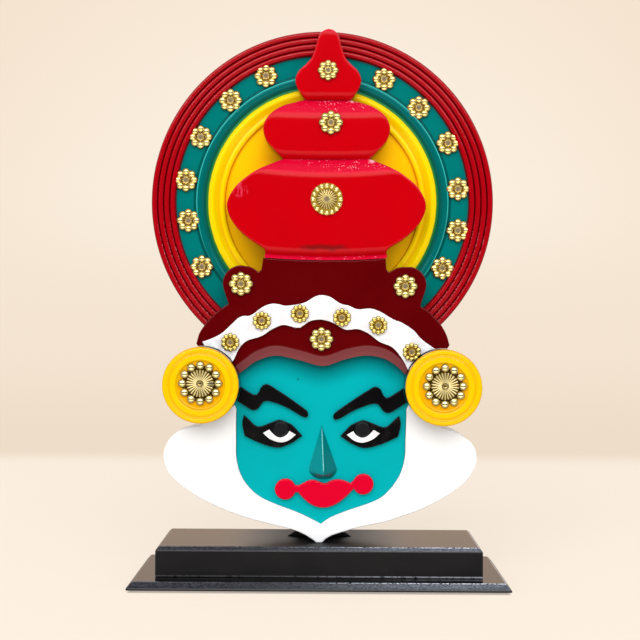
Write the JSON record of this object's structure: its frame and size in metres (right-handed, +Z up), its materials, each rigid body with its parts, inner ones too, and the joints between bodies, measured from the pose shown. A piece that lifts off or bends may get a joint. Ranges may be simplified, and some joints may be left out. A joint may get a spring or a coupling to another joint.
{
  "type": "kathakali mask on stand",
  "caption": "Painted wooden Kathakali dance mask with a ringed halo, tiered crown, scalloped band, ear discs and white beard, standing on a stepped black plinth.",
  "frame": {"origin": "middle of the base board's underside", "axes": "+Z up, the face looks along -Y, +X to the viewer's right"},
  "size_m": [0.222, 0.0836, 0.33],
  "materials": {
    "black_enamel": "gloss black enamel on wood",
    "crown_red": "gloss red enamel on carved wood",
    "halo_enamel": "gloss teal enamel with a red rim and a yellow ring and dish, on turned wood",
    "beard_white": "gloss white enamel on wood",
    "face_teal": "gloss turquoise enamel on wood",
    "maroon_enamel": "gloss maroon enamel on wood",
    "ear_yellow": "gloss yellow enamel on turned wood",
    "lip_red": "gloss red enamel on wood",
    "pupil_black": "gloss black enamel on small turned domes",
    "rosette_brass": "bright stamped brass"
  },
  "bodies": {
    "root": {"base_board": "black_enamel", "plinth_block": "black_enamel", "back_post": "black_enamel", "halo_disc": "halo_enamel", "beard_board": "beard_white", "face_plate": "face_teal", "ear_disc_left": "ear_yellow", "ear_disc_right": "ear_yellow", "head_board": "maroon_enamel", "white_band": "beard_white", "crown_block": "crown_red", "brow_left": "black_enamel", "brow_right": "black_enamel", "eye_left": "black_enamel", "eye_right": "black_enamel", "eye_white_left": "beard_white", "eye_white_right": "beard_white", "pupil_left": "pupil_black", "pupil_right": "pupil_black", "lips": "lip_red", "nose": "face_teal", "rosette_halo_left_1": "rosette_brass", "rosette_halo_left_2": "rosette_brass", "rosette_halo_left_3": "rosette_brass", "rosette_halo_left_4": "rosette_brass", "rosette_halo_left_5": "rosette_brass", "rosette_halo_left_6": "rosette_brass", "rosette_halo_right_1": "rosette_brass", "rosette_halo_right_2": "rosette_brass", "rosette_halo_right_3": "rosette_brass", "rosette_halo_right_4": "rosette_brass", "rosette_halo_right_5": "rosette_brass", "rosette_halo_right_6": "rosette_brass", "rosette_crown_finial": "rosette_brass", "rosette_crown_middle": "rosette_brass", "rosette_crown_large": "rosette_brass", "rosette_head_left": "rosette_brass", "rosette_head_right": "rosette_brass", "rosette_head_brow": "rosette_brass", "rosette_band_1": "rosette_brass", "rosette_band_2": "rosette_brass", "rosette_band_3": "rosette_brass", "rosette_band_4": "rosette_brass", "rosette_band_5": "rosette_brass", "rosette_band_6": "rosette_brass", "rosette_ear_left": "rosette_brass", "rosette_ear_right": "rosette_brass"}
  },
  "joints": []
}
